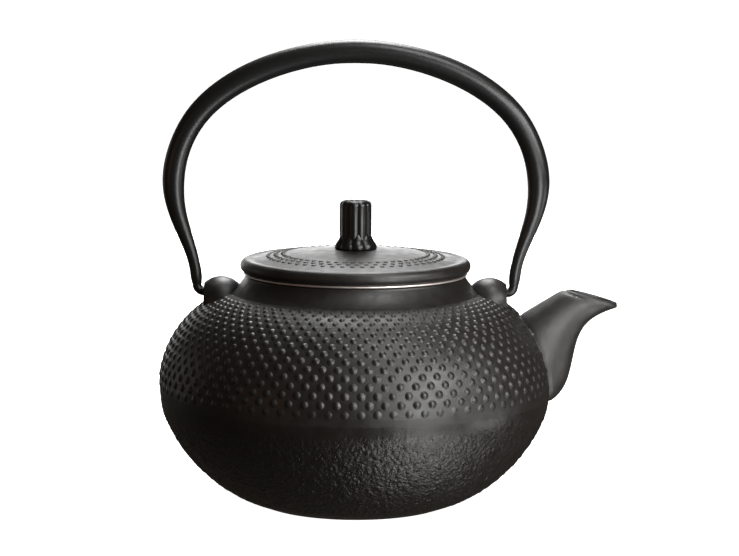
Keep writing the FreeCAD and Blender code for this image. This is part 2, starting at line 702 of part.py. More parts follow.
def make_knob_screw():
    """Flat-headed screw that holds the knob from under the lid."""
    body, sketch, outline = turned_part("knob_screw", ("0", "worked.head_bottom"))
    outline.line("sizes.screw_head_radius", "worked.head_bottom")
    outline.line("sizes.screw_head_radius", "worked.washer_bottom")
    outline.line("sizes.screw_radius", "worked.washer_bottom")
    outline.line("sizes.screw_radius", "worked.screw_top")
    outline.line("0", "worked.screw_top")
    outline.close()
    turned(body, "Revolution", "screw_turning", sketch)
    return body


def make_knob_washer():
    """Plain washer between the screw's head and the lid."""
    body, sketch, outline = turned_part("knob_washer", ("worked.screw_hole", "worked.washer_bottom"))
    outline.line("sizes.washer_radius", "worked.washer_bottom")
    outline.line("sizes.washer_radius", "worked.under_boss_z")
    outline.line("worked.screw_hole", "worked.under_boss_z")
    outline.close()
    turned(body, "Revolution", "washer_turning", sketch)
    return body


MAKERS = (
    make_pot_body,
    make_pot_neck,
    make_pot_spout,
    make_bail_handle,
    make_strainer_rim,
    make_strainer_wall,
    make_strainer_band,
    make_strainer_floor,
    make_lid,
    make_lid_knob,
    make_knob_screw,
    make_knob_washer,
)


def check(bodies):
    """Stop if any object failed or any sub-part is not a sound solid."""
    failed = [item.Name for item in doc.Objects if {"Invalid", "Error"} & set(item.State)]
    if failed:
        raise RuntimeError(f"failed objects: {failed}")
    for body in bodies:
        if body.Shape.isNull() or not body.Shape.isValid() or len(body.Shape.Solids) != 1:
            raise RuntimeError(f"{body.Label} is not one sound solid")


def main():
    """Build every sub-part, check it and write its file."""
    bodies = [make() for make in MAKERS]
    doc.recompute()
    check(bodies)
    os.makedirs("parts", exist_ok=True)
    for body in bodies:
        body.Shape.exportStep(f"parts/{body.Label}.step")
        print(body.Label, round(body.Shape.Volume), "mm3")


main()
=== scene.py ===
"""Looks of a cast-iron teapot, dressed round its packed construction.

Everything lies in the construction's own frame, in metres: Z is up, the origin is the middle of
the base, the spout points along +X and the bail stands upright in the XZ plane. Sizes are written
in millimetres and pass through mm().
"""

import logging
import math
from contextlib import contextmanager
from dataclasses import dataclass
from enum import Enum
from itertools import pairwise
from typing import Any, Callable, Iterator

import bpy
from mathutils import Matrix, Vector


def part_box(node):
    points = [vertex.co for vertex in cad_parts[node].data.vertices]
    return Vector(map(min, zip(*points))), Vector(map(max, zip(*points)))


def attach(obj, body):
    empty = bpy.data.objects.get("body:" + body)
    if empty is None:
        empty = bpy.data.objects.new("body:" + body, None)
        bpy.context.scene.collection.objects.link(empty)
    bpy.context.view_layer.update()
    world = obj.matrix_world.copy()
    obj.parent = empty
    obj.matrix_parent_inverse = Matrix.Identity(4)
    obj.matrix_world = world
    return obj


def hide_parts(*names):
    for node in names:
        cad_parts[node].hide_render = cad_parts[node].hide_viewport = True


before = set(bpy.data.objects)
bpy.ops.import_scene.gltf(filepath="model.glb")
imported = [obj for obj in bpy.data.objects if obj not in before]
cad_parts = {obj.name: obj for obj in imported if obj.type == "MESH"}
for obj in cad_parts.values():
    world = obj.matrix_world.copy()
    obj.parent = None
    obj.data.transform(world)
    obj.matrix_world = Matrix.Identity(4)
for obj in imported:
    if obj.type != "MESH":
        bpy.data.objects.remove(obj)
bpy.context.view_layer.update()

log = logging.getLogger("teapot")
# Points closer than this, in metres, are one point.
MERGE_GAP = 1e-7


class Body(Enum):
    """Bodies of the construction that new pieces ride on."""

    POT = "pot"
    STRAINER = "strainer"
    LID = "lid"


class Slot(Enum):
    """Material slots of the record, one named for each new piece."""

    CAST_IRON = "cast_iron_black"
    KNOB_LACQUER = "knob_lacquer"
    FIXING_STEEL = "fixing_steel"
    STEEL_MESH = "steel_mesh"


def mm(size: float) -> float:
    """Turn millimetres to metres."""
    return size / 1000


def in_mm(length: float) -> float:
    """Turn metres to millimetres."""
    return length * 1000


def ease(start: float, full: float, here: float) -> float:
    """Rise smoothly from 0 at a start to 1 at full.

    Args:
        start: Where the rise begins.
        full: Where it ends, on either side of the start.
        here: The place asked about.

    Returns:
        The share reached there.
    """
    share = min(max((here - start) / (full - start), 0.0), 1.0)
    return share * share * (3 - 2 * share)


def linear(colour: str) -> tuple[float, float, float, float]:
    """Turn an sRGB hex colour to linear values.

    Args:
        colour: Six hex digits after a hash sign.

    Returns:
        Linear red, green and blue, and full alpha.
    """
    shares = [int(colour[i:i + 2], 16) / 255 for i in (1, 3, 5)]
    bent = [s / 12.92 if s <= 0.04045 else ((s + 0.055) / 1.055) ** 2.4 for s in shares]
    return (*bent, 1.0)


def add_node(tree: bpy.types.NodeTree, kind: str, inputs: dict[str | int, Any],
             **settings: Any) -> bpy.types.Node:
    """Add a node with its settings, values and links.

    Args:
        tree: The material's node tree.
        kind: The node's type.
        inputs: For each socket, a value or the output that feeds it.
        settings: The node's own properties.

    Returns:
        The new node.
    """
    node = tree.nodes.new(kind)
    for name, setting in settings.items():
        setattr(node, name, setting)
    for socket, given in inputs.items():
        if isinstance(given, bpy.types.NodeSocket):
            tree.links.new(given, node.inputs[socket])
        else:
            node.inputs[socket].default_value = given
    return node


def new_material(name: str) -> tuple[bpy.types.Material, bpy.types.NodeTree, bpy.types.NodeSocket]:
    """Start an empty node material.

    Args:
        name: What the finish is.

    Returns:
        The material, its tree and the Object coordinates that its patterns read.
    """
    material = bpy.data.materials.new(name)
    material.use_nodes = True
    material.node_tree.nodes.clear()
    coordinates = add_node(material.node_tree, "ShaderNodeTexCoord", {})
    return material, material.node_tree, coordinates.outputs["Object"]


def show_surface(tree: bpy.types.NodeTree, shader: bpy.types.Node) -> None:
    """Link a shader to the material's output."""
    add_node(tree, "ShaderNodeOutputMaterial", {"Surface": shader.outputs[0]})


@dataclass(frozen=True)
class SandCastIron:
    """Iron cast in sand under satin black enamel.

    The sand leaves a fine grain and slow swells that break the sheen up, and the enamel is a
    little thinner and greyer where it was brushed out. Moulding sand is about 0.2 mm: its grain is
    drawn coarser than that, so that it shows. Lengths are in millimetres.
    """

    name: str = "sand_cast_iron_satin_enamel"
    dark: str = "#0e0c0b"
    pale: str = "#191613"
    grain: float = 0.8
    grain_depth: float = 0.05
    swell: float = 5.0
    swell_depth: float = 0.10
    patch: float = 24.0
    smooth: float = 0.36
    dull: float = 0.48
    sheen_span: tuple[float, float] = (0.3, 0.7)
    ior: float = 1.5
    wrinkle: float = 1.3
    wrinkle_depth: float = 0.0
    wrinkle_start: float = 48.0
    wrinkle_full: float = 37.0

    def material(self) -> bpy.types.Material:
        """Build the enamel's nodes; wrinkles grow with the depth below a height.

        Returns:
            The enamel.
        """
        material, tree, place = new_material(self.name)
        sheen_low, sheen_high = self.sheen_span
        grain = add_node(tree, "ShaderNodeTexNoise", {
            "Vector": place, "Scale": 1 / mm(self.grain), "Detail": 2.0, "Roughness": 0.6})
        swell = add_node(tree, "ShaderNodeTexNoise", {
            "Vector": place, "Scale": 1 / mm(self.swell), "Detail": 1.0})
        patch = add_node(tree, "ShaderNodeTexNoise", {
            "Vector": place, "Scale": 1 / mm(self.patch), "Detail": 3.0})
        tint = add_node(tree, "ShaderNodeMix", {
            0: patch.outputs["Fac"], 6: linear(self.dark), 7: linear(self.pale)}, data_type="RGBA")
        sheen = add_node(tree, "ShaderNodeMapRange", {
            "Value": swell.outputs["Fac"], "From Min": sheen_low, "From Max": sheen_high,
            "To Min": self.smooth, "To Max": self.dull})
        slow = add_node(tree, "ShaderNodeBump", {
            "Height": swell.outputs["Fac"], "Distance": mm(self.swell_depth), "Strength": 1.0})
        if self.wrinkle_depth:
            slow = self.wrinkles(tree, place, slow)
        fine = add_node(tree, "ShaderNodeBump", {
            "Height": grain.outputs["Fac"], "Distance": mm(self.grain_depth), "Strength": 1.0,
            "Normal": slow.outputs["Normal"]})
        shader = add_node(tree, "ShaderNodeBsdfPrincipled", {
            "Base Color": tint.outputs[2], "Roughness": sheen.outputs["Result"], "IOR": self.ior,
            "Normal": fine.outputs["Normal"]})
        show_surface(tree, shader)
        return material

    def wrinkles(self, tree: bpy.types.NodeTree, place: bpy.types.NodeSocket,
                 under: bpy.types.Node) -> bpy.types.Node:
        """Add the fine wrinkles of a rough mould.

        Args:
            tree: The material's node tree.
            place: The Object coordinates.
            under: The bump that they lie on.

        Returns:
            The bump with the wrinkles in it.
        """
        wrinkle = add_node(tree, "ShaderNodeTexNoise", {
            "Vector": place, "Scale": 1 / mm(self.wrinkle), "Detail": 3.0, "Distortion": 0.5})
        height = add_node(tree, "ShaderNodeSeparateXYZ", {"Vector": place})
        share = add_node(tree, "ShaderNodeMapRange", {
            "Value": height.outputs["Z"], "From Min": mm(self.wrinkle_start),
            "From Max": mm(self.wrinkle_full)}, interpolation_type="SMOOTHSTEP")
        return add_node(tree, "ShaderNodeBump", {
            "Height": wrinkle.outputs["Fac"], "Distance": mm(self.wrinkle_depth),
            "Strength": share.outputs["Result"], "Normal": under.outputs["Normal"]})


@dataclass(frozen=True)
class BakedLacquer:
    """Black lacquer baked on smooth metal: even and deep, with a faint orange peel.

    Lengths are in millimetres.
    """

    name: str
    colour: str
    roughness: float
    peel: float = 1.6
    peel_depth: float = 0.01
    spread: float = 0.15
    ior: float = 1.5

    def material(self) -> bpy.types.Material:
        """Build the lacquer's nodes.

        Returns:
            The lacquer.
        """
        material, tree, place = new_material(self.name)
        peel = add_node(tree, "ShaderNodeTexNoise", {
            "Vector": place, "Scale": 1 / mm(self.peel), "Detail": 1.0})
        sheen = add_node(tree, "ShaderNodeMapRange", {
            "Value": peel.outputs["Fac"], "To Min": self.roughness * (1 - self.spread),
            "To Max": self.roughness * (1 + self.spread)})
        bump = add_node(tree, "ShaderNodeBump", {
            "Height": peel.outputs["Fac"], "Distance": mm(self.peel_depth), "Strength": 1.0})
        shader = add_node(tree, "ShaderNodeBsdfPrincipled", {
            "Base Color": linear(self.colour), "Roughness": sheen.outputs["Result"],
            "IOR": self.ior, "Normal": bump.outputs["Normal"]})
        show_surface(tree, shader)
        return material


@dataclass(frozen=True)
class TurnedSteel:
    """Stainless or plated steel: bright, with fine turning or drawing marks.

    Such marks are finer than 0.1 mm: they are drawn coarser, so that they show. Lengths are in
    millimetres.
    """

    name: str
    colour: str
    roughness: float
    mark: float = 0.3
    mark_depth: float = 0.004
    mark_stretch: tuple[float, float, float] = (0.1, 0.1, 1.0)
    spread: float = 0.3

    def material(self) -> bpy.types.Material:
        """Build the steel's nodes.

        Returns:
            The steel.
        """
        material, tree, place = new_material(self.name)
        stretch = add_node(tree, "ShaderNodeMapping", {
            "Vector": place, "Scale": self.mark_stretch})
        mark = add_node(tree, "ShaderNodeTexNoise", {
            "Vector": stretch.outputs["Vector"], "Scale": 1 / mm(self.mark), "Detail": 2.0})
        sheen = add_node(tree, "ShaderNodeMapRange", {
            "Value": mark.outputs["Fac"], "To Min": self.roughness * (1 - self.spread),
            "To Max": self.roughness * (1 + self.spread)})
        bump = add_node(tree, "ShaderNodeBump", {
            "Height": mark.outputs["Fac"], "Distance": mm(self.mark_depth), "Strength": 1.0})
        shader = add_node(tree, "ShaderNodeBsdfPrincipled", {
            "Base Color": linear(self.colour), "Metallic": 1.0,
            "Roughness": sheen.outputs["Result"], "Normal": bump.outputs["Normal"]})
        show_surface(tree, shader)
        return material


@dataclass(frozen=True)
class PaleBoard:
    """Matt white board under the pot, lit evenly as on a light table."""

    name: str = "matt_white_board"
    colour: str = "#fbfbfa"
    glow: float = 1.1
    roughness: float = 0.9

    def material(self) -> bpy.types.Material:
        """Build the board's nodes.

        Returns:
            The board's finish.
        """
        material, tree, _ = new_material(self.name)
        shader = add_node(tree, "ShaderNodeBsdfPrincipled", {
            "Base Color": linear(self.colour), "Roughness": self.roughness,
            "Emission Color": linear(self.colour), "Emission Strength": self.glow})
        show_surface(tree, shader)
        return material


def deselect() -> None:
    """Deselect everything, so that operators act on the next piece alone."""
    bpy.ops.object.select_all(action="DESELECT")


@contextmanager
def editing(piece: bpy.types.Object) -> Iterator[None]:
    """Open one piece in edit mode with all of it selected, and close it again.

    Args:
        piece: The object to edit.

    Yields:
        Nothing.
    """
    deselect()
    piece.select_set(True)
    bpy.context.view_layer.objects.active = piece
    bpy.ops.object.mode_set(mode="EDIT")
    bpy.ops.mesh.select_all(action="SELECT")
    yield
    bpy.ops.object.mode_set(mode="OBJECT")


def apply_modifier(piece: bpy.types.Object, kind: str, **settings: Any) -> None:
    """Give a piece a modifier and apply it.

    Args:
        piece: The object to change.
        kind: The modifier's type.
        settings: The modifier's own properties.
    """
    modifier = piece.modifiers.new(kind.lower(), kind)
    for name, setting in settings.items():
        setattr(modifier, name, setting)
    bpy.context.view_layer.objects.active = piece
    bpy.ops.object.modifier_apply(modifier=modifier.name)


def shade(piece: bpy.types.Object, sharp_from: float = 50.0) -> None:
    """Shade a piece smooth, apart from its sharp edges.

    Args:
        piece: The object to shade.
        sharp_from: Edges that turn by more than this stay sharp, in degrees.
    """
    deselect()
    piece.select_set(True)
    bpy.context.view_layer.objects.active = piece
    bpy.ops.object.shade_smooth_by_angle(angle=math.radians(sharp_from))


def draw(name: str, corners: list[Vector]) -> bpy.types.Object:
    """Draw a closed outline, edge by edge.

    Args:
        name: The piece's name.
        corners: The outline's corners in order, in metres.

    Returns:
        The new piece, so far only an outline.
    """
    deselect()
    bpy.ops.mesh.primitive_plane_add(size=mm(1), location=corners[0])
    piece = bpy.context.object
    piece.name = name
    bpy.ops.object.transform_apply(location=True, rotation=True, scale=True)
    with editing(piece):
        # The plane shrinks to one point, which then draws the outline.
        bpy.ops.mesh.merge(type="CENTER")
        for here, there in pairwise([*corners, corners[0]]):
            bpy.ops.mesh.extrude_region_move(TRANSFORM_OT_translate={"value": there - here})
        bpy.ops.mesh.select_all(action="SELECT")
        bpy.ops.mesh.remove_doubles(threshold=MERGE_GAP)
    return piece


def lathe(name: str, outline: list[tuple[float, float]], steps: int) -> bpy.types.Object:
    """Spin a closed outline round the pot's axis.

    Args:
        name: The piece's name.
        outline: Radius and height of each corner, in millimetres, in order round the section.
        steps: How many facets go round.

    Returns:
        The new piece, closed and facing outwards.
    """
    piece = draw(name, [Vector((mm(radius), 0, mm(height))) for radius, height in outline])
    with editing(piece):
        bpy.ops.mesh.spin(steps=steps, angle=math.tau, center=(0, 0, 0), axis=(0, 0, 1))
        bpy.ops.mesh.select_all(action="SELECT")
        bpy.ops.mesh.remove_doubles(threshold=MERGE_GAP)
        bpy.ops.mesh.normals_make_consistent(inside=False)
    return piece


def grow(rings: tuple[tuple[float, float], ...]) -> None:
    """Raise the selected face ring by ring in edit mode.

    Args:
        rings: Share of the first width, and height above the XY plane, of each ring.
    """
    for (wide, low), (narrow, high) in pairwise(rings):
        bpy.ops.mesh.extrude_region_move(TRANSFORM_OT_translate={"value": (0, 0, high - low)})
        share = narrow / wide
        bpy.ops.transform.resize(value=(share, share, 1), center_override=(0, 0, high))


def join(name: str, pieces: list[bpy.types.Object]) -> bpy.types.Object:
    """Join pieces to one and name it.

    Args:
        name: The joined piece's name.
        pieces: What is joined.

    Returns:
        The joined piece.
    """
    deselect()
    for piece in pieces:
        piece.select_set(True)
    bpy.context.view_layer.objects.active = pieces[0]
    bpy.ops.object.join()
    pieces[0].name = name
    pieces[0].data.name = name
    return pieces[0]


def scatter(name: str, shape: bpy.types.Object, places: list[Matrix]) -> bpy.types.Object:
    """Copy a shape to many places and join the copies.

    Args:
        name: The joined piece's name.
        shape: What is copied; it goes away itself.
        places: Where each copy goes, its size included.

    Returns:
        The joined piece.
    """
    copies = []
    for place in places:
        copy = shape.copy()
        copy.data = shape.data.copy()
        copy.data.transform(place)
        bpy.context.scene.collection.objects.link(copy)
        copies.append(copy)
    bpy.data.objects.remove(shape)
    return join(name, copies)


def copied(node: str, name: str) -> bpy.types.Object:
    """Copy a node of the construction, to be shaped further.

    Args:
        node: The node's name.
        name: The copy's name.

    Returns:
        The copy, with its faces joined along their edges.
    """
    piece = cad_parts[node].copy()
    piece.data = piece.data.copy()
    piece.name = name
    piece.parent = None
    bpy.context.scene.collection.objects.link(piece)
    with editing(piece):
        bpy.ops.mesh.remove_doubles(threshold=MERGE_GAP)
    return piece


def dress(node: str, material: bpy.types.Material) -> None:
    """Give a node of the construction its finish.

    Args:
        node: The node's name.
        material: The finish for all of it.
    """
    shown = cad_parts[node]
    shown.data.materials.clear()
    shown.data.materials.append(material)
    log.info("dressed %s in %s", node, material.name)


def adopt(piece: bpy.types.Object, body: Body, slot: Slot, material: bpy.types.Material,
          *stands_for: str) -> None:
    """Let a finished piece join the object.

    Args:
        piece: The piece, in its place.
        body: The body that it moves with.
        slot: The record's slot for its finish; not used.
        material: Its finish.
        stands_for: Nodes of the construction that it replaces.
    """
    piece.data.materials.clear()
    piece.data.materials.append(material)
    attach(piece, body.value)
    if stands_for:
        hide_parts(*stands_for)
    log.info("%s rides on %s with %d faces", piece.name, body.value, len(piece.data.polygons))


@dataclass
class Stud:
    """A round stud of unit radius and height, drawn in ring by ring from a disc."""

    sides: int = 10
    rings: tuple[tuple[float, float], ...] = (
        (1.0, 0.0), (0.86, 0.09), (0.70, 0.38), (0.46, 0.76), (0.22, 0.95))
    sharp_from: float = 70.0

    def build(self) -> bpy.types.Object:
        """Model the stud once.

        Returns:
            The stud, standing on the XY plane.
        """
        deselect()
        bpy.ops.mesh.primitive_circle_add(vertices=self.sides, radius=1, fill_type="NGON")
        stud = bpy.context.object
        with editing(stud):
            grow(self.rings)
            rise = 1 - self.rings[-1][1]
            bpy.ops.mesh.extrude_region_move(TRANSFORM_OT_translate={"value": (0, 0, rise)})
            bpy.ops.mesh.merge(type="CENTER")
            bpy.ops.mesh.select_all(action="SELECT")
            bpy.ops.mesh.normals_make_consistent(inside=False)
        shade(stud, self.sharp_from)
        return stud


def standing(point: Vector, normal: Vector, along: Vector, radius: float, height: float) -> Matrix:
    """Work out where a stud stands on a surface.

    Args:
        point: Middle of its foot.
        normal: The way it stands out.
        along: A direction on the surface.
        radius: The stud's radius.
        height: The stud's height.

    Returns:
        The place with the stud's size in it.
    """
    across = normal.cross(along)
    turn = Matrix((along, across, normal)).transposed().to_4x4()
    return Matrix.Translation(point) @ turn @ Matrix.Diagonal((radius, radius, height, 1))


@dataclass
class PotCasting:
    """The pot: hobnails, a rough-cast skin under its belly and a soft-lipped spout.

    Lengths are in millimetres and angles in degrees. A pair of heights or depths is where
    something starts and where it is full.
    """

    # The turned outline, as in the construction.
    belly_radius: float = 83.5
    belly_height: float = 50.0
    shoulder_radius: float = 42.0
    flank_radius: float = 33.5
    flank_angle: float = 23.3
    base_radius: float = 41.0
    # Hobnails, row by row up the shoulder.
    studs_round: int = 80
    stud_rows: int = 17
    first_row_turn: float = 2.85
    first_stud: float = 2.05
    row_ratio: float = 0.56
    stud_share: float = 0.60
    stud_height_share: float = 0.19
    stud_sink: float = 0.06
    lowest_row_share: float = 0.6
    clear_reach: float = 4.0
    clear_slack: float = 0.18
    nodes: tuple[str, ...] = ("pot_body", "pot_neck", "pot_spout")
    # Rough skin and its ripple.
    skin_bottom: float = 0.6
    skin_top: float = 49.5
    skin_step: float = 0.62
    skin_facets: int = 840
    skin_proud: float = 0.22
    skin_hide: float = 0.06
    skin_depth: float = 1.2
    skin_back_step: float = 9.0
    skin_low: tuple[float, float] = (0.6, 4.0)
    skin_high: tuple[float, float] = (49.0, 40.0)
    ripple: float = 1.9
    ripple_height: float = 0.65
    ripple_level: float = 0.3
    ripple_low: tuple[float, float] = (1.0, 6.0)
    ripple_high: tuple[float, float] = (46.5, 35.0)
    # The spout's mouth, in x and z, its lip and its root.
    mouth_back: tuple[float, float] = (89.2, 90.4)
    mouth_front: tuple[float, float] = (112.2, 84.4)
    spout_cell: float = 0.45
    lip_depth: tuple[float, float] = (-7.0, -2.0)
    lip_rounds: int = 22
    lip_softness: float = 0.5
    root_sink: float = 1.3
    root_reach: float = 1.6

    def build(self, enamel: bpy.types.Material, spout_enamel: bpy.types.Material,
              rough_enamel: bpy.types.Material) -> None:
        """Model and dress the pot's pieces.

        Args:
            enamel: The casting's finish.
            spout_enamel: The finish of its spout.
            rough_enamel: The finish of its rough skin.
        """
        dress("pot_body", enamel)
        dress("pot_neck", enamel)
        studs = scatter("hobnails", Stud().build(), list(self.stud_places()))
        adopt(studs, Body.POT, Slot.CAST_IRON, enamel)
        adopt(self.rough_skin(), Body.POT, Slot.CAST_IRON, rough_enamel)
        adopt(self.soft_spout(), Body.POT, Slot.CAST_IRON, spout_enamel, "pot_spout")

    def shoulder_at(self, turn: float) -> tuple[float, float]:
        """Follow the shoulder's arc.

        Args:
            turn: Angle above the belly, in radians.

        Returns:
            Radius and height there.
        """
        centre = self.belly_radius - self.shoulder_radius
        return (centre + self.shoulder_radius * math.cos(turn),
                self.belly_height + self.shoulder_radius * math.sin(turn))

    def bare(self, point: Vector, normal: Vector) -> bool:
        """Tell whether the casting's turned surface is open to view at a point.

        Args:
            point: A point of the shoulder, in metres.
            normal: The way that the surface faces there.

        Returns:
            False where the spout or a lug covers it.
        """
        start = point + normal * mm(self.clear_reach)
        seen = {}
        for node in self.nodes:
            hit, found, _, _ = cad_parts[node].ray_cast(start, -normal)
            seen[node] = (found - start).length if hit else math.inf
        slack = mm(self.clear_slack)
        bowl = seen.pop("pot_body")
        return abs(bowl - mm(self.clear_reach)) < slack and min(seen.values()) > bowl + slack

    def stud_places(self) -> Iterator[Matrix]:
        """Set out the hobnails.

        Yields:
            The place of each one that stands clear of spout and lugs.
        """
        turn = math.radians(self.first_row_turn)
        for row in range(self.stud_rows):
            radius, height = self.shoulder_at(turn)
            pitch = math.tau * radius / self.studs_round
            foot = self.stud_share * pitch / 2
            rise = foot * 2 * self.stud_height_share
            if row == 0:
                rise *= self.lowest_row_share
            for place in range(self.studs_round):
                around = math.tau * (place + row % 2 / 2) / self.studs_round
                around += math.radians(self.first_stud)
                out = Vector((math.cos(around), math.sin(around), 0))
                along = Vector((-out.y, out.x, 0))
                normal = out * math.cos(turn) + Vector((0, 0, math.sin(turn)))
                point = out * mm(radius) + Vector((0, 0, mm(height)))
                up = normal.cross(along)
                edges = [point + side * mm(foot) for side in (along, -along, up, -up)]
                if all(self.bare(spot, normal) for spot in (point, *edges)):
                    sunk = point - normal * mm(self.stud_sink)
                    yield standing(sunk, normal, along, mm(foot), mm(rise))
            turn += self.row_ratio * pitch / self.shoulder_radius

    def soft_spout(self) -> bpy.types.Object:
        """Model the spout with the lip of its mouth rounded off, as a mould leaves it.

        Returns:
            The spout, in its place.
        """
        spout = copied("pot_spout", "soft_lipped_spout")
        spout.data.remesh_voxel_size = mm(self.spout_cell)
        spout.data.remesh_voxel_adaptivity = 0.0
        bpy.context.view_layer.objects.active = spout
        bpy.ops.object.voxel_remesh()
        (back_x, back_z), (front_x, front_z) = self.mouth_back, self.mouth_front
        tilt = math.atan2(back_z - front_z, front_x - back_x)
        up = Vector((math.sin(tilt), 0, math.cos(tilt)))
        mouth = Vector((mm(back_x), 0, mm(back_z)))
        group = spout.vertex_groups.new(name="lip")
        for vertex in spout.data.vertices:
            depth = in_mm((vertex.co - mouth).dot(up))
            group.add([vertex.index], ease(*self.lip_depth, depth), "REPLACE")
        apply_modifier(spout, "SMOOTH", factor=self.lip_softness, iterations=self.lip_rounds,
                       vertex_group=group.name)
        spout.vertex_groups.clear()
        self.sink_root(spout)
        shade(spout)
        return spout

    def sink_root(self, spout: bpy.types.Object) -> None:
        """Press the spout's root a little into the bowl, so that no gap shows round it.

        Args:
            spout: The spout, in its place.
        """
        for vertex in spout.data.vertices:
            above = in_mm(vertex.co.z) > self.belly_height
            curve = self.shoulder_radius if above else self.flank_radius
            middle = Vector((vertex.co.x, vertex.co.y, 0)).normalized()
            middle *= mm(self.belly_radius - curve)
            middle.z = mm(self.belly_height)
            away = vertex.co - middle
            share = 1 - ease(0.0, self.root_reach, in_mm(away.length) - curve)
            vertex.co -= away.normalized() * mm(self.root_sink * share)

    def flank_line(self, proud: Callable[[float], float], low: float, high: float,
                   step: float) -> list[tuple[float, float]]:
        """Follow the pot's lower outline upwards.

        Args:
            proud: For a height, how far outside the outline the line runs.
            low: Height that it starts at.
            high: Height that it ends at.
            step: Distance between its points.

        Returns:
            Radius and height of each point.
        """
        lean = math.radians(self.flank_angle)
        flank = (self.belly_radius - self.flank_radius, self.belly_height)
        joint = (flank[0] + self.flank_radius * math.cos(lean),
                 flank[1] - self.flank_radius * math.sin(lean))
        run = joint[0] - self.base_radius
        slant = run * math.cos(lean) - joint[1] * math.sin(lean)
        bowl_radius = (run ** 2 + joint[1] ** 2) / (2 * slant)
        bowl = (joint[0] - bowl_radius * math.cos(lean), joint[1] + bowl_radius * math.sin(lean))
        arcs = (
            (bowl, bowl_radius, math.asin((low - bowl[1]) / bowl_radius), -lean),
            (flank, self.flank_radius, -lean, math.asin((high - flank[1]) / self.flank_radius)),
        )
        line = []
        for (across, level), radius, start, end in arcs:
            count = max(1, round(radius * (end - start) / step))
            for index in range(1 if line else 0, count + 1):
                angle = start + (end - start) * index / count
                reach = radius + proud(level + radius * math.sin(angle))
                line.append((across + reach * math.cos(angle), level + reach * math.sin(angle)))
        return line

    def skin_rise(self, height: float) -> float:
        """Return how far the rough skin stands out at a height; its edges lie under the casting."""
        share = ease(*self.skin_low, height) * ease(*self.skin_high, height)
        return self.skin_proud * share - self.skin_hide * (1 - share)

    def rough_skin(self) -> bpy.types.Object:
        """Model the rough-cast skin of the bowl as a thin closed shell.

        Returns:
            The shell, wrinkled where it stands out and tucked under the casting at its edges.
        """
        outer = self.flank_line(self.skin_rise, self.skin_bottom, self.skin_top, self.skin_step)
        inner = self.flank_line(lambda height: -self.skin_depth, self.skin_bottom + self.skin_depth,
                                self.skin_top, self.skin_back_step)
        skin = lathe("rough_cast_skin", outer + inner[::-1], self.skin_facets)
        group = skin.vertex_groups.new(name="ripple")
        for vertex in skin.data.vertices:
            group.add([vertex.index], self.ripple_share(vertex), "REPLACE")
        ripple = bpy.data.textures.new("ripple", "CLOUDS")
        ripple.noise_scale = mm(self.ripple)
        ripple.noise_depth = 1
        ripple.noise_type = "HARD_NOISE"
        apply_modifier(skin, "DISPLACE", texture=ripple, vertex_group=group.name,
                       mid_level=self.ripple_level, strength=mm(self.ripple_height),
                       texture_coords="LOCAL")
        skin.vertex_groups.clear()
        shade(skin)
        return skin

    def ripple_share(self, vertex: bpy.types.MeshVertex) -> float:
        """Work out how much of the ripple a point of the skin takes.

        Args:
            vertex: The point.

        Returns:
            A share from its height; none on the skin's back.
        """
        outward = vertex.normal.x * vertex.co.x + vertex.normal.y * vertex.co.y
        if outward <= 0:
            return 0.0
        height = in_mm(vertex.co.z)
        return ease(*self.ripple_low, height) * ease(*self.ripple_high, height)


@dataclass
class Knob:
    """The knob: a stem of soft lobes on a foot of petals that sit between them, in millimetres."""

    lobes: int = 9
    first_lobe: float = 18.5
    lobe_points: int = 10
    stem: tuple[float, float] = (6.9, 3.0)
    stem_rings: tuple[tuple[float, float], ...] = (
        (1.0, 2.0), (1.0, 6.0), (1.0, 13.0), (1.0, 18.7), (0.985, 19.3), (0.95, 19.9), (0.89, 20.3),
        (0.82, 20.6), (0.76, 20.5), (0.70, 20.1), (0.3, 20.0))
    foot: tuple[float, float] = (9.1, 3.8)
    foot_shift: float = 0.5
    foot_rings: tuple[tuple[float, float], ...] = (
        (0.95, 0.0), (0.99, 0.3), (1.0, 0.8), (0.995, 1.5), (0.97, 2.2), (0.925, 2.9), (0.865, 3.6),
        (0.81, 4.4), (0.765, 5.3), (0.735, 6.2), (0.70, 7.0))
    sharp_from: float = 40.0

    def build(self) -> bpy.types.Object:
        """Model the knob.

        Returns:
            The knob, on its seat.
        """
        low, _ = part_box("lid_knob")
        stem = self.lobed("stem", *self.stem, 0.0, self.stem_rings)
        foot = self.lobed("foot", *self.foot, self.foot_shift, self.foot_rings)
        knob = join("lobed_knob", [stem, foot])
        knob.data.transform(Matrix.Translation((0, 0, low[2])))
        shade(knob, self.sharp_from)
        return knob

    def lobed(self, name: str, radius: float, curve: float, shift: float,
              rings: tuple[tuple[float, float], ...]) -> bpy.types.Object:
        """Model one lobed part of the knob.

        Args:
            name: The part's name.
            radius: How far out its lobes reach.
            curve: Radius of each lobe's own curve.
            shift: Turn of its lobes, as a share of their pitch.
            rings: Share of the outline's width at each height.

        Returns:
            The part, closed, with its seat on the XY plane.
        """
        offset = radius - curve
        half = math.pi / self.lobes
        (first_share, first_height), *_ = rings
        corners = []
        for lobe in range(self.lobes):
            middle = math.radians(self.first_lobe) + 2 * half * (lobe + shift)
            for step in range(self.lobe_points):
                away = half * (2 * step / self.lobe_points - 1)
                side = offset * math.sin(away)
                reach = first_share * (offset * math.cos(away) + math.sqrt(curve ** 2 - side ** 2))
                out = Vector((math.cos(middle + away), math.sin(middle + away), 0))
                corners.append(out * mm(reach) + Vector((0, 0, mm(first_height))))
        part = draw(name, corners)
        with editing(part):
            bpy.ops.mesh.edge_face_add()
            grow(tuple((share, mm(height)) for share, height in rings))
            bpy.ops.mesh.select_all(action="SELECT")
            bpy.ops.mesh.normals_make_consistent(inside=False)
        return part


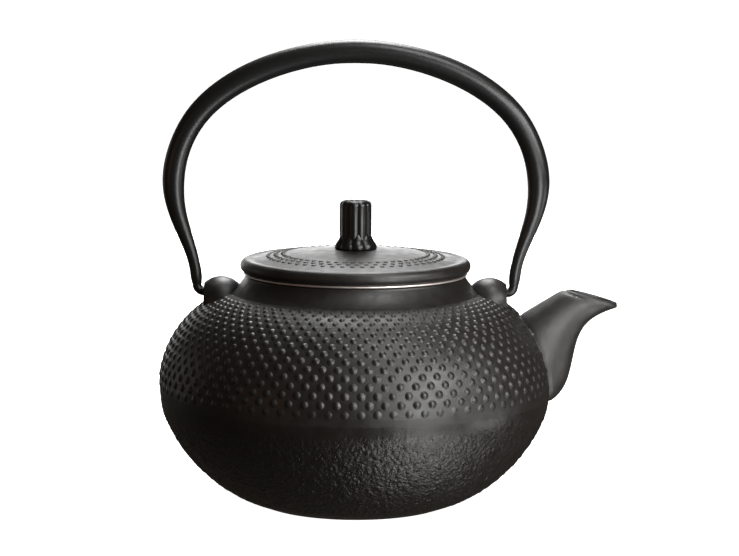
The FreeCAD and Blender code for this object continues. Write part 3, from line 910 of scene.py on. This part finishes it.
@dataclass
class LidCasting:
    """The lid: three rings of small studs on its dome, with its knob and fixing, in millimetres."""

    dome_top: float = 109.02
    dome_radius: float = 211.98
    slot_width: float = 1.0
    slot_depth: float = 1.1
    slot_overhang: float = 1.0
    screw_sharp_from: float = 35.0
    ring_radii: tuple[float, ...] = (31.0, 34.2, 37.3)
    dots_round: int = 56
    first_dot: float = -1.7
    dot_radius: float = 1.05
    dot_height: float = 0.45
    dot_rings: tuple[tuple[float, float], ...] = (
        (1.0, 0.0), (0.90, 0.36), (0.76, 0.72), (0.52, 0.92), (0.26, 0.99))
    dot_sink: float = 0.04

    def build(self, enamel: bpy.types.Material, knob_lacquer: bpy.types.Material,
              fixing_steel: bpy.types.Material) -> None:
        """Model and dress the lid's pieces.

        Args:
            enamel: The casting's finish.
            knob_lacquer: The knob's finish.
            fixing_steel: The screw's and washer's finish.
        """
        dress("lid", enamel)
        dots = scatter("lid_dots", Stud(rings=self.dot_rings).build(), list(self.dot_places()))
        adopt(dots, Body.LID, Slot.CAST_IRON, enamel)
        adopt(Knob().build(), Body.LID, Slot.KNOB_LACQUER, knob_lacquer, "lid_knob")
        adopt(self.slotted_screw(), Body.LID, Slot.FIXING_STEEL, fixing_steel, "knob_screw")
        dress("knob_washer", fixing_steel)

    def slotted_screw(self) -> bpy.types.Object:
        """Model the screw with a driver's slot across its head.

        Returns:
            The screw, in its place.
        """
        screw = copied("knob_screw", "slotted_knob_screw")
        low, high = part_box("knob_screw")
        deselect()
        bpy.ops.mesh.primitive_cube_add(size=1, location=(0, 0, low[2]))
        slot = bpy.context.object
        slot.scale = (high[0] - low[0] + mm(self.slot_overhang), mm(self.slot_width),
                      mm(self.slot_depth * 2))
        bpy.ops.object.transform_apply(location=True, rotation=True, scale=True)
        apply_modifier(screw, "BOOLEAN", object=slot, operation="DIFFERENCE", solver="EXACT")
        bpy.data.objects.remove(slot)
        shade(screw, self.screw_sharp_from)
        return screw

    def dot_places(self) -> Iterator[Matrix]:
        """Set out the dots.

        Yields:
            The place of each one on the dome.
        """
        dome = self.dome_radius
        for ring, radius in enumerate(self.ring_radii):
            lean = math.asin(radius / dome)
            height = self.dome_top - dome * (1 - math.cos(lean))
            for place in range(self.dots_round):
                around = math.tau * (place + ring % 2 / 2) / self.dots_round
                around += math.radians(self.first_dot)
                out = Vector((math.cos(around), math.sin(around), 0))
                normal = out * math.sin(lean) + Vector((0, 0, math.cos(lean)))
                point = out * mm(radius) + Vector((0, 0, mm(height))) - normal * mm(self.dot_sink)
                along = Vector((-out.y, out.x, 0))
                yield standing(point, normal, along, mm(self.dot_radius), mm(self.dot_height))


@dataclass
class Strainer:
    """The basket: a bright rim and band that carry a steel mesh, in millimetres.

    A tea mesh is finer than 1 mm: it is drawn at a wider pitch, so that its wires show.
    """

    pitch: float = 1.5
    wire: float = 0.45

    def build(self, polished: bpy.types.Material, mesh_steel: bpy.types.Material) -> None:
        """Model and dress the basket's pieces.

        Args:
            polished: The rim's and band's finish.
            mesh_steel: The wires' finish.
        """
        dress("strainer_rim", polished)
        dress("strainer_band", polished)
        adopt(self.wall_cloth(), Body.STRAINER, Slot.STEEL_MESH, mesh_steel, "strainer_wall")
        adopt(self.floor_cloth(), Body.STRAINER, Slot.STEEL_MESH, mesh_steel, "strainer_floor")

    def wall_cloth(self) -> bpy.types.Object:
        """Model the wire cloth of the basket's side.

        Returns:
            A ring of upright and level wires.
        """
        low, high = (Vector(corner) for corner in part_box("strainer_wall"))
        radius = high.x - mm(self.wire) / 2
        rows = round((high.z - low.z) / mm(self.pitch))
        deselect()
        bpy.ops.mesh.primitive_circle_add(vertices=round(math.tau * radius / mm(self.pitch)),
                                          radius=radius, location=(0, 0, low.z))
        cloth = bpy.context.object
        cloth.name = "strainer_wall_cloth"
        bpy.ops.object.transform_apply(location=True, rotation=True, scale=True)
        step = Vector((0, 0, (high.z - low.z) / rows))
        with editing(cloth):
            for _ in range(rows):
                bpy.ops.mesh.extrude_region_move(TRANSFORM_OT_translate={"value": step})
        self.weave(cloth)
        return cloth

    def floor_cloth(self) -> bpy.types.Object:
        """Model the wire cloth of the basket's floor.

        Returns:
            A round of crossed wires whose cut edge lies on the band's lip.
        """
        low, high = (Vector(corner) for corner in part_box("strainer_floor"))
        cells = round(2 * high.x / mm(self.pitch))
        deselect()
        bpy.ops.mesh.primitive_grid_add(x_subdivisions=cells, y_subdivisions=cells, size=2 * high.x,
                                        location=(0, 0, (low.z + high.z) / 2))
        cloth = bpy.context.object
        cloth.name = "strainer_floor_cloth"
        bpy.ops.object.transform_apply(location=True, rotation=True, scale=True)
        # A face or edge left selected would select its points again.
        with editing(cloth):
            bpy.ops.mesh.select_all(action="DESELECT")
        reach = high.x - mm(self.wire)
        for vertex in cloth.data.vertices:
            vertex.select = vertex.co.xy.length > reach
        bpy.ops.object.mode_set(mode="EDIT")
        bpy.ops.mesh.delete(type="VERT")
        bpy.ops.object.mode_set(mode="OBJECT")
        self.weave(cloth)
        return cloth

    def weave(self, cloth: bpy.types.Object) -> None:
        """Turn a sheet's edges to wires.

        Args:
            cloth: The sheet.
        """
        apply_modifier(cloth, "WIREFRAME", thickness=mm(self.wire), use_boundary=True,
                       use_even_offset=False)
        shade(cloth)


@dataclass
class Bail:
    """The bail handle, whose construction already has its shape."""

    def build(self, lacquer: bpy.types.Material) -> None:
        """Dress the bail in its lacquer."""
        dress("bail_handle", lacquer)


@dataclass
class Softbox:
    """A soft square light that faces the pot's middle, in degrees and metres.

    Its azimuth is counted from the camera's side towards the spout. A low one stands for light that
    the table throws up.
    """

    name: str
    azimuth: float
    elevation: float
    power: float
    distance: float = 1.0
    size: float = 0.38
    tint: str = "#ffffff"
    target: tuple[float, float, float] = (0.0, 0.0, 0.06)

    def build(self) -> None:
        """Hang the light."""
        around, up = math.radians(self.azimuth), math.radians(self.elevation)
        level = math.cos(up)
        away = Vector((math.sin(around) * level, -math.cos(around) * level, math.sin(up)))
        facing = (-away).to_track_quat("-Z", "Y").to_euler()
        place = Vector(self.target) + away * self.distance
        bpy.ops.object.light_add(type="AREA", location=place, rotation=facing)
        lamp = bpy.context.object
        lamp.name = self.name
        lamp.data.size = self.size
        lamp.data.energy = self.power
        lamp.data.color = linear(self.tint)[:3]
        lamp.visible_camera = False


@dataclass
class Studio:
    """Camera, lights and floor. Lengths are in metres and angles in degrees."""

    camera_place: tuple[float, float, float] = (0.00602, -1.1028, 0.2420)
    pitch: float = 7.525
    roll: float = 0.388
    lens: float = 126.85
    sensor: float = 36.0
    floor_size: float = 24.0
    sky: str = "#fff0dc"
    sky_strength: float = 0.055
    softboxes: tuple[Softbox, ...] = (
        Softbox("side_key", 58, 25, 4.9),
        Softbox("high_key", 40, 65, 3.4),
        Softbox("near_key", 33, 29, 0.95, distance=0.49, size=0.20),
        Softbox("spout_kicker", 34, 0, 0.42, distance=0.29, size=0.12),
        Softbox("low_side", 80, -15, 1.5),
        Softbox("front_bounce", 42, -35, 2.5),
        Softbox("low_bounce", 60, -55, 2.4),
        Softbox("warm_left", -50, 5, 0.22, tint="#ffb48c"),
        Softbox("back_low", 180, 5, 2.2),
        Softbox("back_mid", 180, 45, 3.6),
        Softbox("back_high", 180, 65, 5.6),
        Softbox("back_left", -160, 5, 0.9),
        Softbox("left_rim", -120, 5, 0.22),
    )

    def build(self) -> None:
        """Set up the whole studio."""
        deselect()
        self.add_camera()
        self.add_floor()
        self.add_lights()

    def add_camera(self) -> None:
        """Place the camera where the photograph was taken from."""
        bpy.ops.object.camera_add(location=self.camera_place)
        camera = bpy.context.object
        lift = Matrix.Rotation(math.radians(90 - self.pitch), 4, "X")
        lean = Matrix.Rotation(math.radians(self.roll), 4, "Z")
        camera.rotation_euler = (lift @ lean).to_euler()
        camera.data.lens = self.lens
        camera.data.sensor_width = self.sensor
        camera.data.clip_end = self.floor_size
        bpy.context.scene.camera = camera

    def add_floor(self) -> None:
        """Lay the pale floor that the pot stands on."""
        bpy.ops.mesh.primitive_plane_add(size=self.floor_size)
        floor = bpy.context.object
        floor.name = "floor"
        floor.data.materials.append(PaleBoard().material())
        # The low softboxes stand for the light that it would throw up.
        floor.visible_glossy = False
        floor.visible_diffuse = False
        floor.visible_shadow = False

    def add_lights(self) -> None:
        """Hang the softboxes and set the sky's faint fill."""
        for softbox in self.softboxes:
            softbox.build()
        world = bpy.data.worlds.new("studio")
        world.use_nodes = True
        backdrop = world.node_tree.nodes["Background"]
        backdrop.inputs["Color"].default_value = linear(self.sky)
        backdrop.inputs["Strength"].default_value = self.sky_strength
        bpy.context.scene.world = world
        bpy.context.scene.view_settings.view_transform = "Standard"


def main() -> None:
    """Dress the teapot and set up its studio."""
    logging.basicConfig(level=logging.INFO, format="%(name)s: %(message)s")
    # Sand-cast iron under satin enamel: near black, with a soft sheen that the grain breaks up.
    enamel = SandCastIron().material()
    # The same enamel on the spout, where it shows a wider and paler sheen.
    spout_enamel = SandCastIron("spout_satin_enamel", smooth=0.42, dull=0.54, ior=1.62).material()
    # The bowl as the mould left it: glints on the wrinkles' crests and dark between them.
    rough_enamel = SandCastIron("rough_cast_iron_satin_enamel", smooth=0.27, dull=0.38,
                                wrinkle_depth=0.42).material()
    # Zinc plating: soft pale grey under the lid.
    fixing = TurnedSteel("zinc_plated_steel", "#b9b8b2", roughness=0.35).material()
    # Polished stainless steel: a bright, slightly warm line between neck and lid.
    polished = TurnedSteel("polished_stainless_steel", "#e8ded8", roughness=0.45).material()
    # Drawn stainless wire: greyer than the rim, with a glint on each wire.
    wire = TurnedSteel("stainless_wire_cloth", "#bdbbb6", roughness=0.30).material()
    # Satin lacquer on the bail: even black with long soft highlights.
    bail_lacquer = BakedLacquer("satin_black_lacquer", "#0f0f0f", roughness=0.34).material()
    # Glossier lacquer on the knob: narrow highlights down its lobes.
    knob_lacquer = BakedLacquer("gloss_black_lacquer", "#0b0a0a", roughness=0.30).material()
    PotCasting().build(enamel, spout_enamel, rough_enamel)
    LidCasting().build(enamel, knob_lacquer, fixing)
    Strainer().build(polished, wire)
    Bail().build(bail_lacquer)
    Studio().build()


if __name__ == "__main__":
    main()
